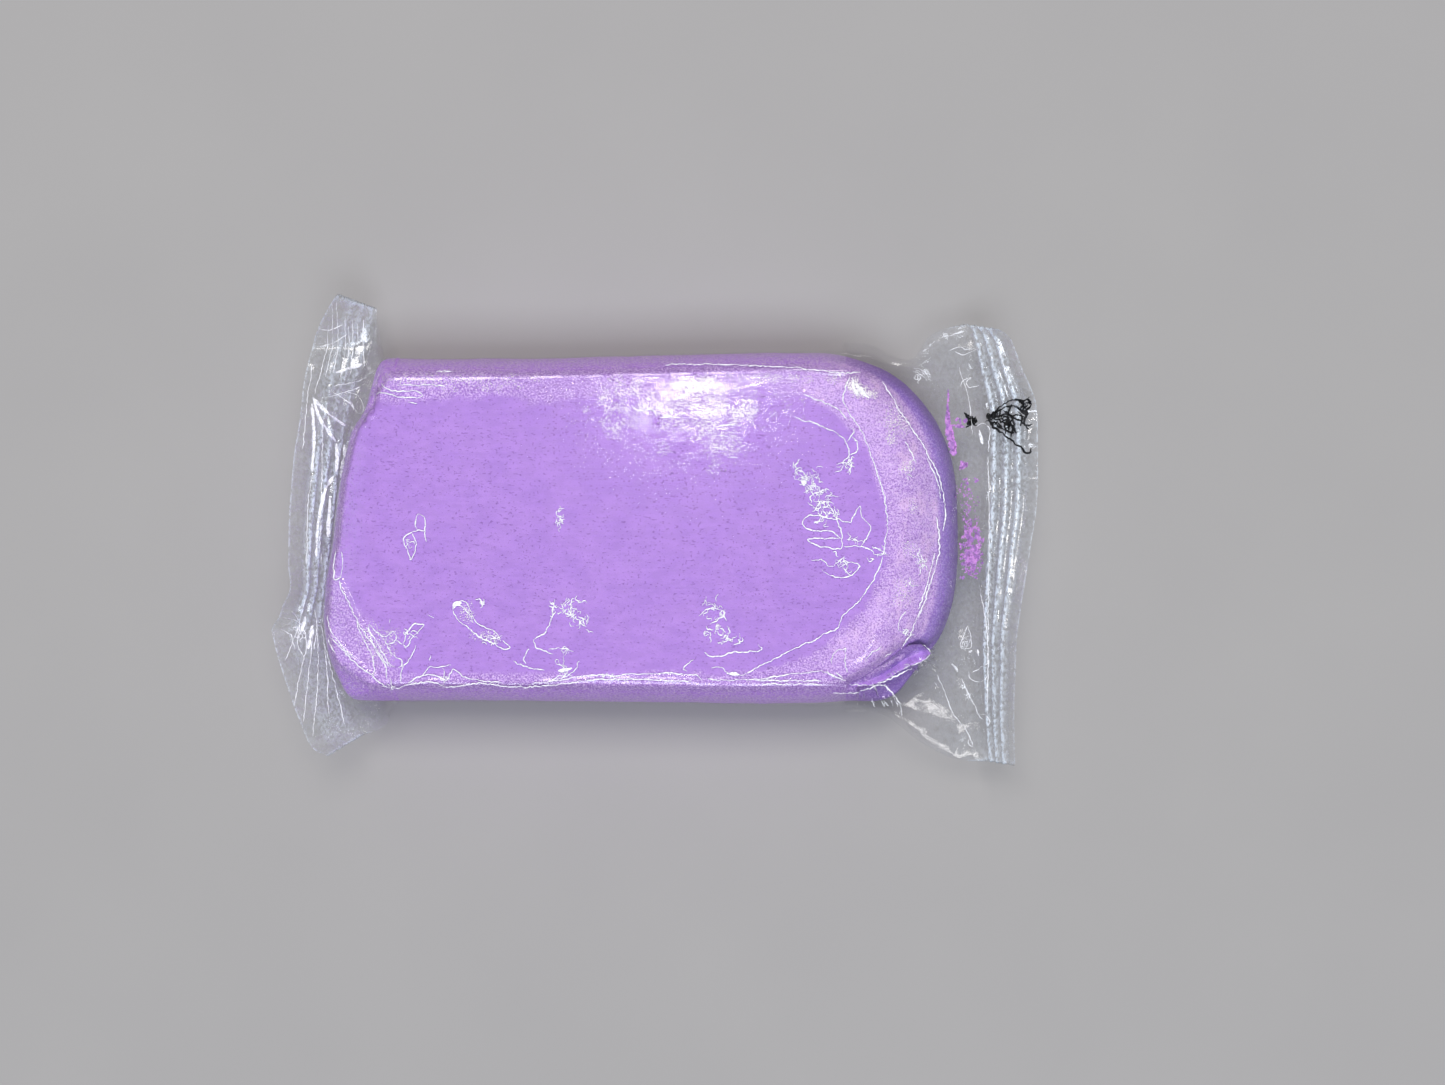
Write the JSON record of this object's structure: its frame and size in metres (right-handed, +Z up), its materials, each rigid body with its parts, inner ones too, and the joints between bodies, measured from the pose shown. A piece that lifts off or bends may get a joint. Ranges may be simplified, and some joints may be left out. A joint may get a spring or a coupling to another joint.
{
  "type": "film-wrapped modelling clay block",
  "caption": "Flat purple clay block with one rounded end, sealed in a clear film wrapper with crimped end seals that fold up and down.",
  "frame": {"origin": "middle of the face that the pack rests on, under the middle of the block", "axes": "+X runs along the block to its rounded end, +Z up out of its flat top face"},
  "size_m": [0.1132, 0.0692, 0.0166],
  "materials": {
    "lilac_clay": "soft, matte, faintly streaked modelling clay",
    "clear_film": "clear glossy packaging film, one ply",
    "sealed_film": "clear packaging film, two plies heat-sealed and crimped"
  },
  "bodies": {
    "pack": {"cake": "lilac_clay", "cake_crumbs": "lilac_clay", "film_sleeve": "clear_film", "back_seam": "sealed_film", "left_end_film": "clear_film", "right_end_film": "clear_film"},
    "left_seal": {"left_end_seal": "sealed_film"},
    "right_seal": {"right_end_seal": "sealed_film"}
  },
  "joints": [
    {"name": "left_seal_fold", "type": "hinge", "parent": "pack", "child": "left_seal", "pos_m": [-0.04649, 0.0008, 0.005], "axis": [0.1392, 0.9903, 0], "range_deg": [-80, 22], "stiffness_Nm_per_rad": 0.0005},
    {"name": "right_seal_fold", "type": "hinge", "parent": "pack", "child": "right_seal", "pos_m": [0.049, -0.0019, 0.005], "axis": [0, -1, 0], "range_deg": [-45, 85], "stiffness_Nm_per_rad": 0.0005}
  ]
}
